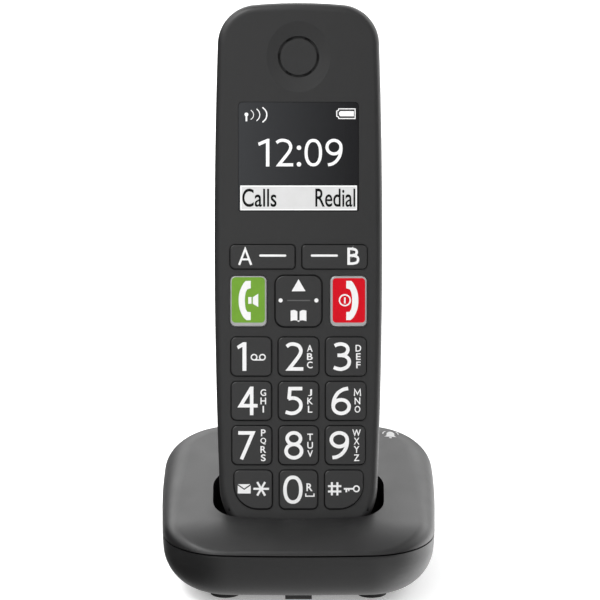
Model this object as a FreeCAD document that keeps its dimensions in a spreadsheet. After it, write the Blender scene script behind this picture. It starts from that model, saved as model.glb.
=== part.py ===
import FreeCAD, Part
import math
import os

import Sketcher
from FreeCAD import Placement, Rotation, Vector

# A cordless telephone standing in its desk base.
#
# The model frame is the base's: X across, Y from front to back, Z up, origin under the middle
# of the base on the surface that it stands on.  Everything in the handset is drawn in the
# handset's own frame, X across, Y from its face into its body, Z from its lower end to its
# upper end, and is then seated in the base with one placement.

doc = FreeCAD.newDocument("cordless_phone")

SIZES = {
    # handset, outside
    "handset_length": 163.0,
    "handset_width": 50.5,
    "handset_depth": 27.0,
    "handset_wall": 1.8,
    "handset_split": 10.0,
    "seam": 0.3,
    "side_radius": 1800.0,
    "widest_at": 92.0,
    "top_radius": 150.0,
    "top_corner": 12.0,
    "bottom_corner": 18.0,
    "back_radius": 447.0,
    "thickest_at": 70.8,
    "face_radius": 300.0,
    "face_edge": 2.3,
    "back_edge": 8.0,
    # handset in the base
    "lean_angle": 18.0,
    "seat_front": -25.89,
    "seat_height": 15.8,
    # keys
    "key_proud": 0.55,
    "key_gap": 0.25,
    "key_edge": 0.35,
    "flange_front": 2.9,
    "flange_thick": 0.8,
    "flange_reach": 0.5,
    "plunger_radius": 1.5,
    "plunger_end": 4.9,
    "digit_width": 12.2,
    "digit_height": 11.65,
    "digit_corner": 1.65,
    "digit_outer_corner": 7.2,
    "digit_row": 13.32,
    "digit_column": 14.2,
    "digit_bottom": 16.8,
    "soft_width": 19.5,
    "soft_height": 7.2,
    "soft_at": 86.7,
    "soft_aside": 10.8,
    "call_width": 10.9,
    "call_height": 15.1,
    "call_at": 73.4,
    "call_aside": 15.0,
    "rocker_width": 13.9,
    "rocker_height": 15.3,
    "rocker_corner": 2.7,
    # display
    "window_width": 36.3,
    "window_height": 32.9,
    "window_at": 116.8,
    "window_gap": 0.12,
    # earpiece
    "earpiece_at": 146.8,
    "dish_radius": 10.7,
    "dish_depth": 0.8,
    "earpiece_hole": 6.25,
    "earpiece_disc": 5.45,
    # boards and keypad inside the handset
    "mat_front": 5.65,
    "board_front": 6.45,
    "board_back": 7.65,
    # batteries and their door
    "cell_radius": 5.25,
    "cell_length": 44.5,
    "cell_depth": 18.6,
    "cell_aside": 5.9,
    "cell_from": 57.0,
    "door_from": 52.0,
    "door_to": 112.0,
    "door_half": 15.0,
    "door_gap": 0.25,
    # base, outside
    "base_width": 82.4,
    "base_depth": 83.0,
    "base_side_radius": 440.0,
    "base_corner": 20.0,
    "foot_height": 1.5,
    "under_edge": 13.5,
    "base_split": 17.8,
    "front_height": 21.8,
    "top_slope": 10.0,
    "top_crown": 450.0,
    "front_top_edge": 2.5,
    "rear_top_edge": 11.0,
    "front_roll": 45.0,
    "front_roll_from": 16.25,
    "base_seam": 0.45,
    "base_wall": 1.8,
    # well that the handset stands in
    "well_half": 25.75,
    "well_front": -1.5,
    "well_back": 25.5,
    "well_corner": 9.5,
    "well_bow_angle": 13.0,
    "well_floor": -1.2,
    "lip_edge": 1.0,
    # sockets at the back of the base
    "socket_width": 12.0,
    "socket_height": 9.7,
    "socket_depth": 14.0,
    "mouth_width": 9.7,
    "mouth_height": 7.5,
    "mouth_depth": 11.0,
    "socket_face": 38.9,
    "base_board_top": 7.6,
}

sheet = doc.addObject("Spreadsheet::Sheet", "Sizes")
for row, (alias, value) in enumerate(SIZES.items(), 1):
    sheet.set(f"A{row}", alias)
    sheet.set(f"B{row}", str(value))
    sheet.setAlias(f"B{row}", alias)
doc.recompute()


# ---- sizes that carry their own formula ----

class Dim:
    """A size: its number now, and the sheet formula that gives it."""

    def __init__(self, value, formula):
        self.value = value
        self.formula = formula

    def _join(self, other, sign, value):
        return Dim(value, f"({self.formula} {sign} {dim(other).formula})")

    def __add__(self, other):
        return self._join(other, "+", self.value + dim(other).value)

    def __sub__(self, other):
        return self._join(other, "-", self.value - dim(other).value)

    def __mul__(self, other):
        return self._join(other, "*", self.value * dim(other).value)

    def __truediv__(self, other):
        return self._join(other, "/", self.value / dim(other).value)

    def __radd__(self, other):
        return dim(other) + self

    def __rsub__(self, other):
        return dim(other) - self

    def __rmul__(self, other):
        return dim(other) * self

    def __neg__(self):
        return 0 - self


def dim(number):
    """Make a plain number a Dim, and leave a Dim as it is."""
    return number if isinstance(number, Dim) else Dim(float(number), f"({float(number)})")


def size(alias):
    """The sheet's cell of that name."""
    return Dim(SIZES[alias], f"Sizes.{alias}")


def sine(angle):
    return Dim(math.sin(math.radians(angle.value)), f"sin({angle.formula})")


def cosine(angle):
    return Dim(math.cos(math.radians(angle.value)), f"cos({angle.formula})")


def bind(thing, path, number):
    thing.setExpression(path, dim(number).formula)


# ---- building blocks ----

TURNS = {
    "x": Rotation(Vector(0, 1, 0), 90),
    "y": Rotation(Vector(1, 0, 0), -90),
    "z": Rotation(),
}


def move(thing, x, y, z):
    for axis, number in zip("xyz", (x, y, z)):
        bind(thing, f"Placement.Base.{axis}", number)
    return thing


def block(name, x, y, z):
    """A box given by its two ends along each axis."""
    box = doc.addObject("Part::Box", name)
    for side, (low, high) in zip(("Length", "Width", "Height"), (x, y, z)):
        bind(box, side, dim(high) - low)
    return move(box, x[0], y[0], z[0])


def rod(name, axis, radius, ends, across):
    """A cylinder along an axis, between its ends, centred on the two other coordinates."""
    cylinder = doc.addObject("Part::Cylinder", name)
    bind(cylinder, "Radius", radius)
    bind(cylinder, "Height", dim(ends[1]) - ends[0])
    cylinder.Placement = Placement(Vector(), TURNS[axis])
    place = list(across)
    place.insert("xyz".index(axis), ends[0])
    return move(cylinder, *place)


def ball(name, radius, centre):
    sphere = doc.addObject("Part::Sphere", name)
    bind(sphere, "Radius", radius)
    return move(sphere, *centre)


def draw_outline(sketch, points):
    """Draw a closed convex outline, counter-clockwise.

    Each point is (u, v, radius): a straight run to the next point, or an arc of that radius.
    """
    ends = [Vector(dim(u).value, dim(v).value, 0) for u, v, _ in points]
    for start, end, (_, _, radius) in zip(ends, ends[1:] + ends[:1], points):
        if radius is None:
            sketch.addGeometry(Part.LineSegment(start, end), False)
            continue
        chord = end - start
        rise = math.sqrt(max(dim(radius).value ** 2 - chord.Length ** 2 / 4, 0))
        centre = (start + end) * 0.5 + Vector(-chord.y, chord.x, 0) * (rise / chord.Length)
        first = math.atan2(start.y - centre.y, start.x - centre.x)
        last = math.atan2(end.y - centre.y, end.x - centre.x)
        if last < first:
            last += 2 * math.pi
        circle = Part.Circle(centre, Vector(0, 0, 1), dim(radius).value)
        sketch.addGeometry(Part.ArcOfCircle(circle, first, last), False)
    for number in range(len(points)):
        following = (number + 1) % len(points)
        sketch.addConstraint(Sketcher.Constraint("Coincident", number, 2, following, 1))
    for number, (u, v, radius) in enumerate(points):
        fixed = [("DistanceX", (number, 1), u), ("DistanceY", (number, 1), v)]
        if radius is not None:
            fixed.append(("Radius", (number,), radius))
        for kind, target, length in fixed:
            constraint = Sketcher.Constraint(kind, *target, dim(length).value)
            index = sketch.addConstraint(constraint)
            bind(sketch, f"Constraints[{index}]", length)


def rounded(u, v, radii):
    """Outline of a rectangle; radii of the corners from low-low, counter-clockwise."""
    (u0, u1), (v0, v1) = u, v
    if not isinstance(radii, (list, tuple)):
        radii = [radii] * 4
    r00, r10, r11, r01 = radii
    return [
        (u0 + dim(r00), v0, None), (u1 - dim(r10), v0, r10),
        (u1, v0 + dim(r10), None), (u1, v1 - dim(r11), r11),
        (u1 - dim(r11), v1, None), (u0 + dim(r01), v1, r01),
        (u0, v1 - dim(r01), None), (u0, v0 + dim(r00), r00),
    ]


def prism(name, plane, ends, outline):
    """A body padded from an outline on one of its origin planes, between two ends."""
    body = doc.addObject("PartDesign::Body", name)
    face = [f for f in body.Origin.OriginFeatures if f.Role == plane][0]
    sketch = body.newObject("Sketcher::SketchObject", name + "_outline")
    sketch.AttachmentSupport = [(face, "")]
    sketch.MapMode = "FlatFace"
    faces_back = plane == "XZ_Plane"
    bind(sketch, "AttachmentOffset.Base.z", -dim(ends[0]) if faces_back else ends[0])
    draw_outline(sketch, outline)
    pad = body.newObject("PartDesign::Pad", name + "_pad")
    pad.Profile = sketch
    pad.Reversed = faces_back
    bind(pad, "Length", dim(ends[1]) - ends[0])
    return body


def common(name, *shapes):
    """What all the shapes share."""
    result = shapes[0]
    for number, other in enumerate(shapes[1:], 1):
        last = number == len(shapes) - 1
        step = doc.addObject("Part::Common", name if last else f"{name}_step{number}")
        step.Base = result
        step.Tool = other
        result = step
    return result


def fuse(name, *shapes):
    joined = doc.addObject("Part::MultiFuse", name)
    joined.Shapes = list(shapes)
    return joined


def cut(name, base, *tools):
    result = doc.addObject("Part::Cut", name)
    result.Base = base
    result.Tool = tools[0] if len(tools) == 1 else fuse(name + "_tools", *tools)
    return result


def group(name, *shapes):
    """Several separate solids in one node."""
    bundle = doc.addObject("Part::Compound", name)
    bundle.Links = list(shapes)
    return bundle


def rim(shape, face):
    """Numbers of the edges around a face."""
    return [n for n, edge in enumerate(shape.Edges, 1) if any(edge.isSame(e) for e in face.Edges)]


def fillet(name, base, edges):
    """Round edges given as (number, radius) or (number, radius at start, radius at end)."""
    rounding = doc.addObject("Part::Fillet", name)
    rounding.Base = base
    rounding.Edges = [(edge[0], edge[1], edge[-1]) for edge in edges]
    return rounding


def built(thing):
    doc.recompute()
    return thing.Shape


def screw(name, axis, under_head, head_tall, tip, at):
    """A cross-head screw; its tip is on the side away from its head."""
    outwards = 1 if tip < under_head else -1
    top = under_head + outwards * head_tall
    head = rod(name + "_head", axis, 2.2, sorted((under_head, top)), at)
    shank = rod(name + "_shank", axis, 1.05, sorted((tip, under_head + outwards * 0.5)), at)
    drive = []
    for wide, tall in ((1.6, 0.3), (0.3, 1.6)):
        spans = [(at[0] - wide, at[0] + wide), (at[1] - tall, at[1] + tall)]
        spans.insert("xyz".index(axis), sorted((top - outwards * 0.6, top + outwards)))
        drive.append(block(f"{name}_drive_{len(drive)}", *spans))
    return cut(name, fuse(name + "_solid", head, shank), *drive)


# ---- the two outer forms ----

def handset_form(name, grow):
    """The handset's closed outer form, grown outwards by a distance."""
    grow = dim(grow)
    half = size("handset_width") / 2 + grow
    top = size("handset_length") + grow
    deep = size("handset_depth") + grow
    slab = block(name + "_slab", (-half, half), (-grow, deep), (-grow, top))
    reach = (-grow - 1, deep + 1)
    side = size("side_radius")
    aside = half - side
    right = rod(name + "_right", "y", side, reach, (aside, size("widest_at")))
    left = rod(name + "_left", "y", side, reach, (-aside, size("widest_at")))
    crest = size("top_radius") + grow
    head = rod(name + "_head", "y", crest, reach, (0, size("handset_length") - size("top_radius")))
    plan = common(name + "_plan", slab, right, left, head)
    shape = built(plan)
    corners = []
    for number, edge in enumerate(shape.Edges, 1):
        ends = [v.Point for v in edge.Vertexes]
        along_y = len(ends) == 2 and abs(ends[0].x - ends[1].x) + abs(ends[0].z - ends[1].z) < 0.01
        if along_y and abs(ends[0].x) > 10:
            upper = ends[0].z > SIZES["handset_length"] / 2
            radius = SIZES["top_corner" if upper else "bottom_corner"] + grow.value
            corners.append((number, radius))
    cornered = fillet(name + "_cornered", plan, corners)
    back = size("back_radius") + grow
    spine = rod(name + "_spine", "x", back, (-half - 1, half + 1),
                (size("handset_depth") - size("back_radius"), size("thickest_at")))
    face = rod(name + "_face", "z", size("face_radius") + grow, (-grow - 1, top + 1),
               (0, size("face_radius")))
    sharp = common(name + "_sharp", cornered, spine, face)
    shape = built(sharp)
    by_depth = sorted(shape.Faces, key=lambda f: f.CenterOfMass.y)
    edges = [(n, SIZES["face_edge"] + grow.value * 0.8) for n in rim(shape, by_depth[0])]
    edges += [(n, SIZES["back_edge"] + grow.value) for n in rim(shape, by_depth[-1])]
    return fillet(name, sharp, edges)


def base_form(name, grow):
    """The base's closed outer form, grown outwards by a distance."""
    grow = dim(grow)
    half = size("base_width") / 2 + grow
    deep = size("base_depth") / 2 + grow
    bottom = size("foot_height") - grow
    bulge = size("base_side_radius")
    tall = (bottom, 60)
    slab = block(name + "_slab", (-half, half), (-deep, deep), tall)
    bows = []
    for side, x, y in (("right", half - bulge, 0), ("left", bulge - half, 0),
                       ("rear", 0, deep - bulge), ("front", 0, bulge - deep)):
        bows.append(rod(f"{name}_{side}", "z", bulge, tall, (x, y)))
    plan = common(name + "_plan", slab, *bows)
    shape = built(plan)
    corners = []
    for number, edge in enumerate(shape.Edges, 1):
        ends = [v.Point for v in edge.Vertexes]
        if len(ends) == 2 and abs(ends[0].z - ends[1].z) > 10 and abs(ends[0].x) > 30:
            if abs(ends[0].y) > 30:
                corners.append((number, SIZES["base_corner"] + grow.value))
    cornered = fillet(name + "_cornered", plan, corners)
    slope = size("top_slope")
    crown = doc.addObject("Part::Cylinder", name + "_crown")
    crown.Placement = Placement(Vector(), Rotation(Vector(-1, 0, 0), 90 - SIZES["top_slope"]))
    bind(crown, "Radius", size("top_crown") + grow)
    bind(crown, "Height", 200)
    front = size("base_depth") / 2
    reach = size("front_roll") - size("front_roll_from") + grow
    move(crown, 0, size("top_crown") * sine(slope) - front - reach * cosine(slope),
         size("front_height") - size("top_crown") * cosine(slope) - reach * sine(slope))
    shape = built(crown)
    front_rim = min(range(1, len(shape.Edges) + 1),
                    key=lambda n: shape.Edges[n - 1].CenterOfMass.y)
    rolled = fillet(name + "_rolled", crown, [(front_rim, SIZES["front_roll"] + grow.value)])
    sharp = common(name + "_sharp", cornered, rolled)
    shape = built(sharp)
    faces = sorted(shape.Faces, key=lambda f: f.CenterOfMass.z)
    under, roll, top = faces[0], faces[-2], faces[-1]

    # The top edge is one closed loop.  Its rounding grows from front to rear, and each edge
    # takes its two radii in the order of a clockwise walk round the loop.
    low = SIZES["front_top_edge"] + grow.value * 0.5
    high = SIZES["rear_top_edge"] + grow.value
    edges = []
    for number in sorted(set(rim(shape, top)) ^ set(rim(shape, roll))):
        first, last = [vertex.Point for vertex in shape.Edges[number - 1].Vertexes]
        if first.x * last.y - first.y * last.x > 0:
            first, last = last, first
        shares = [min(max(point.y / deep.value / 2 + 0.5, 0), 1) for point in (first, last)]
        edges.append((number, *[low + (high - low) * share for share in shares]))
    edges += [(n, SIZES["under_edge"] + grow.value) for n in rim(shape, under)]
    return fillet(name, sharp, edges)


nodes = {}

SEAT = Placement(Vector(0, SIZES["seat_front"], SIZES["seat_height"]),
                 Rotation(Vector(1, 0, 0), -SIZES["lean_angle"]))


def seat(thing):
    """Carry a thing drawn in the handset's frame to its place in the base."""
    if thing.TypeId in ("Part::Box", "Part::Cylinder", "Part::Sphere"):
        thing = group(thing.Name + "_seated", thing)
    thing.Placement = SEAT
    return thing


def node(name, thing, seated=False):
    """Keep a finished piece under its name; a seated piece belongs to the handset."""
    if seated:
        thing = seat(thing)
    thing.Label = name
    nodes[name] = thing
    return thing


WALL = size("handset_wall")
SPLIT = size("handset_split")
LENGTH = size("handset_length")
HALF = size("handset_width") / 2
SEAM = size("seam")
BOARD = size("board_front")

# ---- handset casing ----

LIP = 0.2
LIP_THICK = 1.2
LIP_TALL = 1.5
DOOR_THICK = 1.35

skin = handset_form("handset_skin", 0)
hollow = handset_form("handset_hollow", -WALL)
lip_outer = handset_form("handset_lip_outer", LIP - WALL)
lip_inner = handset_form("handset_lip_inner", LIP - LIP_THICK - WALL)
door_inner = handset_form("handset_door_inner", -DOOR_THICK)


def slice_y(name, thing, low, high):
    """The part of a handset form between two depths."""
    span = block(name + "_span", (-HALF - 2, HALF + 2), (low, high), (-3, LENGTH + 3))
    return common(name, thing, span)


# Keys: name, centre X, centre Z, width, height, corner radii from lower left round.
digit = size("digit_corner")
outer = size("digit_outer_corner")
KEY_ROWS = [
    (("key_star", "key_0", "key_hash"), 11.5, 13.6),
    (("key_7", "key_8", "key_9"), 11.95, 14.0),
    (("key_4", "key_5", "key_6"), 12.1, 14.15),
    (("key_1", "key_2", "key_3"), 12.2, 14.2),
]
KEYS = []
for row, (names, width, column) in enumerate(KEY_ROWS):
    for place, name in zip((-1, 0, 1), names):
        radii = [digit] * 4
        if name == "key_star":
            radii[0] = outer
        if name == "key_hash":
            radii[1] = outer
        height = size("digit_bottom") + size("digit_row") * row
        KEYS.append((name, dim(place * column), height, dim(width), size("digit_height"), radii))
for name, side in (("key_memory_a", -1), ("key_memory_b", 1)):
    radii = [1.1, 1.5, 1.5, 1.1] if side > 0 else [1.5, 1.1, 1.1, 1.5]
    KEYS.append((name, size("soft_aside") * side, size("soft_at"), size("soft_width"),
                 size("soft_height"), radii))
for name, side in (("key_talk", -1), ("key_end", 1)):
    KEYS.append((name, size("call_aside") * side, size("call_at"), size("call_width"),
                 size("call_height"), [1.6] * 4))
ROCKER = ("key_navigation", dim(0), size("call_at"), size("rocker_width"), size("rocker_height"),
          [size("rocker_corner")] * 4)

proud_face = rod("key_crown", "z", size("face_radius") + size("key_proud"), (0, LENGTH),
                 (0, size("face_radius")))


def key_outline(x, z, width, height, radii, grow):
    grow = dim(grow)
    return rounded((x - width / 2 - grow, x + width / 2 + grow),
                   (z - height / 2 - grow, z + height / 2 + grow), [r + grow for r in radii])


def key_cap(name, x, z, width, height, radii):
    """The crowned cap with its rounded edge, down to the flange."""
    column = prism(name + "_column", "XZ_Plane", (-2, size("flange_front") + 0.1),
                   key_outline(x, z, width, height, radii, 0))
    sharp = common(name + "_sharp", column, proud_face)
    shape = built(sharp)
    front = min(shape.Faces, key=lambda f: f.CenterOfMass.y)
    return fillet(name + "_cap", sharp, [(n, SIZES["key_edge"]) for n in rim(shape, front)])


def key_flange(name, x, z, width, height, reach_up):
    reach = size("flange_reach")
    front = size("flange_front")
    return block(name + "_flange", (x - width / 2 - reach, x + width / 2 + reach),
                 (front, front + size("flange_thick")),
                 (z - height / 2 - reach_up, z + height / 2 + reach_up))


for name, x, z, width, height, radii in KEYS:
    plunger = rod(name + "_plunger", "y", size("plunger_radius"),
                  (size("flange_front") + 0.1, size("plunger_end")), (x, z))
    piece = fuse(name, key_cap(name, x, z, width, height, radii),
                 key_flange(name, x, z, width, height, size("flange_reach")), plunger)
    node(name, piece, seated=True)

name, x, z, width, height, radii = ROCKER
node(name, fuse(name, key_cap(*ROCKER), key_flange(name, x, z, width, height, 0.3)), seated=True)
PIVOT = 2.2
node("navigation_pivot",
     fuse("navigation_pivot",
          block("pivot_plate", (-PIVOT, PIVOT), (4.0, 4.6), (z - PIVOT, z + PIVOT)),
          rod("pivot_post", "y", 1.0, (4.5, 5.5), (0, z))), seated=True)

# Front cover: a shell with an inner lip, openings for keys, window and earpiece.
front_half = slice_y("front_half", skin, -2, SPLIT - SEAM / 2)
front_lip = cut("front_lip", slice_y("front_lip_block", lip_outer, SPLIT - 2, SPLIT + LIP_TALL),
                lip_inner)
front_shell = cut("front_shell", front_half, hollow)
SCREWS = [(-13, 7.2), (13, 7.2), (-17, 145), (17, 145)]
front_bosses = [rod(f"front_boss_{n}", "y", 2.4, (1.2, SPLIT), at) for n, at in enumerate(SCREWS)]
front_solid = fuse("front_solid", front_shell, front_lip, *front_bosses)

openings = []
for name, x, z, width, height, radii in KEYS:
    outline = key_outline(x, z, width, height, radii, size("key_gap"))
    openings.append(prism(name + "_opening", "XZ_Plane", (-2, 4), outline))
name, x, z, width, height, radii = ROCKER
openings.append(prism(name + "_opening", "XZ_Plane", (-2, 4),
                      key_outline(x, z, width, height, radii, size("key_gap") + 0.1)))
WINDOW_HALF = size("window_width") / 2
WINDOW_LOW = size("window_at") - size("window_height") / 2
WINDOW_HIGH = size("window_at") + size("window_height") / 2
WINDOW_CORNERS = [0.5, 0.5, 1.2, 1.2]
openings.append(prism("window_opening", "XZ_Plane", (-2, 4),
                      rounded((-WINDOW_HALF, WINDOW_HALF), (WINDOW_LOW, WINDOW_HIGH),
                              WINDOW_CORNERS)))
dish = size("dish_radius")
dish_ball = (dish * dish + size("dish_depth") * size("dish_depth")) / (size("dish_depth") * 2)
openings.append(ball("dish", dish_ball, (0, size("dish_depth") - dish_ball, size("earpiece_at"))))
openings.append(rod("earpiece_opening", "y", size("earpiece_hole"), (-2, 4),
                    (0, size("earpiece_at"))))
MIC_AT = 6.2
openings.append(rod("microphone_opening", "y", 0.6, (-2, 4), (0, MIC_AT)))
openings += [rod(f"front_pilot_{n}", "y", 1.15, (5, SPLIT + 1), at) for n, at in enumerate(SCREWS)]
node("handset_front_cover", cut("handset_front_cover", front_solid, *openings), seated=True)

# Display window with a flange behind the cover, and the module that it covers.
gap = size("window_gap")
pane_column = prism("window_column", "XZ_Plane", (-2, 3.0),
                    rounded((gap - WINDOW_HALF, WINDOW_HALF - gap),
                            (WINDOW_LOW + gap, WINDOW_HIGH - gap), WINDOW_CORNERS))
pane_face = rod("window_crown", "z", size("face_radius") - 0.1, (0, LENGTH),
                (0, size("face_radius")))
pane = common("window_pane", pane_column, pane_face)
pane_flange = block("window_flange", (-WINDOW_HALF - 1, WINDOW_HALF + 1), (2.95, 3.4),
                    (WINDOW_LOW - 1, WINDOW_HIGH + 1))
node("display_window", fuse("display_window", pane, pane_flange), seated=True)
node("display_module", block("display_module", (1 - WINDOW_HALF, WINDOW_HALF - 1),
                             (3.5, BOARD - 0.05), (WINDOW_LOW + 1, WINDOW_HIGH - 0.4)),
     seated=True)

# Earpiece: a small disc on a stem, its perforated flange behind the cover.
EAR = size("earpiece_at")
ear_ring = rod("ear_ring", "y", 7.4, (2.05, 2.6), (0, EAR))
ear_holes = []
for number in range(6):
    turn = math.radians(60 * number)
    ear_holes.append(rod(f"ear_hole_{number}", "y", 1.1, (1.9, 3),
                         (5.4 * math.cos(turn), EAR + 5.4 * math.sin(turn))))
ear_disc = fuse("ear_disc",
                rod("ear_face", "y", size("earpiece_disc"), (0.4, 1.3), (0, EAR)),
                rod("ear_stem", "y", 2.6, (1.2, 2.3), (0, EAR)), ear_ring)
node("earpiece_disc", cut("earpiece_disc", ear_disc, *ear_holes), seated=True)
node("receiver", fuse("receiver", rod("receiver_can", "y", 7.6, (2.9, 5.2), (0, EAR)),
                      rod("receiver_magnet", "y", 5.0, (5.1, 7.2), (0, EAR))), seated=True)
node("receiver_gasket", cut("receiver_gasket", rod("gasket_disc", "y", 7.6, (2.62, 2.88), (0, EAR)),
                            rod("gasket_hole", "y", 6.6, (2.5, 3), (0, EAR))), seated=True)

# Keypad mat, dome contacts, board and what stands on it.
MAT = size("mat_front")
node("keypad_mat", prism("keypad_mat", "XZ_Plane", (MAT, MAT + 0.6),
                         rounded((-20.8, 20.8), (9.9, 92.6), 3)), seated=True)
domes = []
for name, x, z, width, height, radii in KEYS:
    domes.append(rod(name + "_dome", "y", 2.2, (MAT + 0.62, BOARD - 0.02), (x, z)))
node("dome_contacts", group("dome_contacts", *domes), seated=True)
node("handset_board", prism("handset_board", "XZ_Plane", (BOARD, size("board_back")),
                            rounded((-21, 21), (12, 134), 3)), seated=True)
node("radio_shield", block("radio_shield", (-10, 10), (size("board_back"), 10.4), (109, 131)),
     seated=True)
node("microphone", rod("microphone", "y", 2.8, (3.2, 6.0), (0, MIC_AT)), seated=True)

# Back cover: a shell with the battery tub, the door's opening and shelf, and screw bosses.
DOOR_LOW, DOOR_HIGH = size("door_from"), size("door_to")
DOOR_HALF = size("door_half")
TUB_HALF = 11.9
TUB_LOW = 55.6
TUB_HIGH = 106.4
TUB_WALL = 1.2
TUB_FLOOR = 13.2
back_half = slice_y("back_half", skin, SPLIT + SEAM / 2, 30)
back_shell = cut("back_shell", back_half, hollow)
shelf_block = block("shelf_block", (-DOOR_HALF - 2, DOOR_HALF + 2), (18, 30),
                    (DOOR_LOW - 2, DOOR_HIGH + 2))
shelf = cut("door_shelf", common("shelf_part", lip_outer, shelf_block), lip_inner)
tub_block = block("tub_block", (-TUB_HALF - TUB_WALL, TUB_HALF + TUB_WALL),
                  (TUB_FLOOR - TUB_WALL, 30), (TUB_LOW - TUB_WALL, TUB_HIGH + TUB_WALL))
tub = common("tub", tub_block, hollow)


def back_surface(z):
    """Depth of the handset's back at a height."""
    radius = SIZES["back_radius"]
    away = z - SIZES["thickest_at"]
    return SIZES["handset_depth"] - radius + math.sqrt(radius * radius - away * away)


HEAD_SINK = 3.2
HEAD_TALL = 1.5
back_bosses = []
back_tools = []
for number, (x, z) in enumerate(SCREWS):
    under_head = back_surface(z) - HEAD_SINK
    boss = rod(f"back_boss_{number}", "y", 3.2, (SPLIT + SEAM / 2, 30), (x, z))
    back_bosses.append(common(f"back_boss_cut_{number}", boss, door_inner))
    back_tools.append(rod(f"back_hole_{number}", "y", 1.3, (SPLIT - 1, 30), (x, z)))
    back_tools.append(rod(f"back_sink_{number}", "y", 2.5, (under_head, 30), (x, z)))
back_solid = fuse("back_solid", back_shell, shelf, tub, *back_bosses)
back_tools.append(slice_y("lip_rebate", door_inner, SPLIT - 1, SPLIT + LIP_TALL + 0.4))
back_tools.append(cut("door_opening", block("door_opening_block", (-DOOR_HALF, DOOR_HALF),
                                            (18, 30), (DOOR_LOW, DOOR_HIGH)), lip_outer))
back_tools.append(block("tub_inside", (-TUB_HALF, TUB_HALF), (TUB_FLOOR, 30),
                        (TUB_LOW, TUB_HIGH)))
SPEAKER_AT = 128
for ring, count in ((0, 1), (3, 6), (6, 12)):
    for number in range(count):
        turn = 2 * math.pi * number / count
        back_tools.append(rod(f"speaker_hole_{ring}_{number}", "y", 0.8, (15, 30),
                              (ring * math.cos(turn), SPEAKER_AT + ring * math.sin(turn))))
CONTACT = (6.6, 9.4)
CONTACT_DEEP = (11.9, 14.3)
CLEAR = 0.12
for side in (-1, 1):
    ends = sorted((side * CONTACT[0], side * CONTACT[1]))
    back_tools.append(block(f"contact_opening_{side + 1}", (ends[0] - CLEAR, ends[1] + CLEAR),
                            (CONTACT_DEEP[0] - CLEAR, CONTACT_DEEP[1] + CLEAR), (-2, 3)))
node("handset_back_cover", cut("handset_back_cover", back_solid, *back_tools), seated=True)

door_gap = size("door_gap")
door_block = block("door_block", (door_gap - DOOR_HALF, DOOR_HALF - door_gap), (18, 30),
                   (DOOR_LOW + door_gap, DOOR_HIGH - door_gap))
node("battery_door", cut("battery_door", common("door_skin", skin, door_block), door_inner),
     seated=True)

# Loudspeaker, charging contacts, screws.
node("loudspeaker", fuse("loudspeaker",
                         rod("speaker_cone", "y", 9.3, (17.7, 19.8), (0, SPEAKER_AT)),
                         rod("speaker_magnet", "y", 6.0, (14.5, 17.8), (0, SPEAKER_AT))),
     seated=True)
contacts = []
for side in (-1, 1):
    ends = sorted((side * CONTACT[0], side * CONTACT[1]))
    contacts.append(block(f"charge_contact_{side + 1}", ends, CONTACT_DEEP, (0.05, 2.4)))
node("handset_charge_contacts", group("handset_charge_contacts", *contacts), seated=True)
screws = []
for number, at in enumerate(SCREWS):
    under_head = back_surface(at[1]) - HEAD_SINK
    screws.append(screw(f"screw_{number}", "y", under_head + 0.02, HEAD_TALL, 6.0, at))
node("handset_screws", group("handset_screws", *screws), seated=True)

# Two rechargeable cells end to opposite end, their springs and contact plates.
CELL = size("cell_radius")
CELL_Y = size("cell_depth")
ASIDE = size("cell_aside")
NUB_TALL = 0.9
LEAF = 0.4
LEAF_HALF = 2.5
LEAF_TALL = 4.45
springs, plates = [], []
for name, side, low in (("battery_left", -1, TUB_LOW + 5.4), ("battery_right", 1, TUB_LOW + 0.9)):
    at = (ASIDE * side, CELL_Y)
    if side < 0:
        can = (low, low + size("cell_length") - NUB_TALL)
        nub = (can[1] - 0.1, can[1] + NUB_TALL)
    else:
        can = (low + NUB_TALL, low + size("cell_length"))
        nub = (can[0] - NUB_TALL, can[0] + 0.1)
    node(name, fuse(name, rod(name + "_can", "z", CELL, can, at),
                    rod(name + "_nub", "z", 2.2, nub, at)), seated=True)
    start = TUB_LOW + 0.6 if side < 0 else TUB_HIGH - 5.1
    end = start + LEAF_TALL
    leaf_x = (at[0] - LEAF_HALF, at[0] + LEAF_HALF)
    leaf_y = (at[1] - LEAF_HALF, at[1] + LEAF_HALF)
    spring = fuse(name + "_spring",
                  block(f"{name}_leaf_foot", leaf_x, leaf_y, (start, start + LEAF)),
                  block(f"{name}_leaf_head", leaf_x, leaf_y, (end - LEAF, end)),
                  block(f"{name}_leaf_back", leaf_x, (leaf_y[1] - LEAF, leaf_y[1]), (start, end)))
    springs.append(spring)
    plate_x = (at[0] - 4.2, at[0] + 4.2)
    for end, (z0, z1) in enumerate(((TUB_LOW + 0.1, TUB_LOW + 0.5), (TUB_HIGH - 0.5, TUB_HIGH - 0.1))):
        plates.append(block(f"{name}_plate_{end}", plate_x, (TUB_FLOOR + 0.2, 22.5), (z0, z1)))
node("battery_springs", group("battery_springs", *springs), seated=True)
node("battery_contact_plates", group("battery_contact_plates", *plates), seated=True)

# ---- base ----

BASE_SEAM = size("base_seam")
BASE_SPLIT = size("base_split")
base_wall = size("base_wall")
base_skin = base_form("base_skin", 0)
base_hollow = base_form("base_hollow", -base_wall)
base_lip_outer = base_form("base_lip_outer", LIP - base_wall)
base_lip_inner = base_form("base_lip_inner", LIP - LIP_THICK - base_wall)


def slice_z(name, thing, low, high, front=-60):
    """The part of a base form between two heights, and behind a depth."""
    return common(name, thing, block(name + "_span", (-60, 60), (front, 60), (low, high)))


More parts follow.
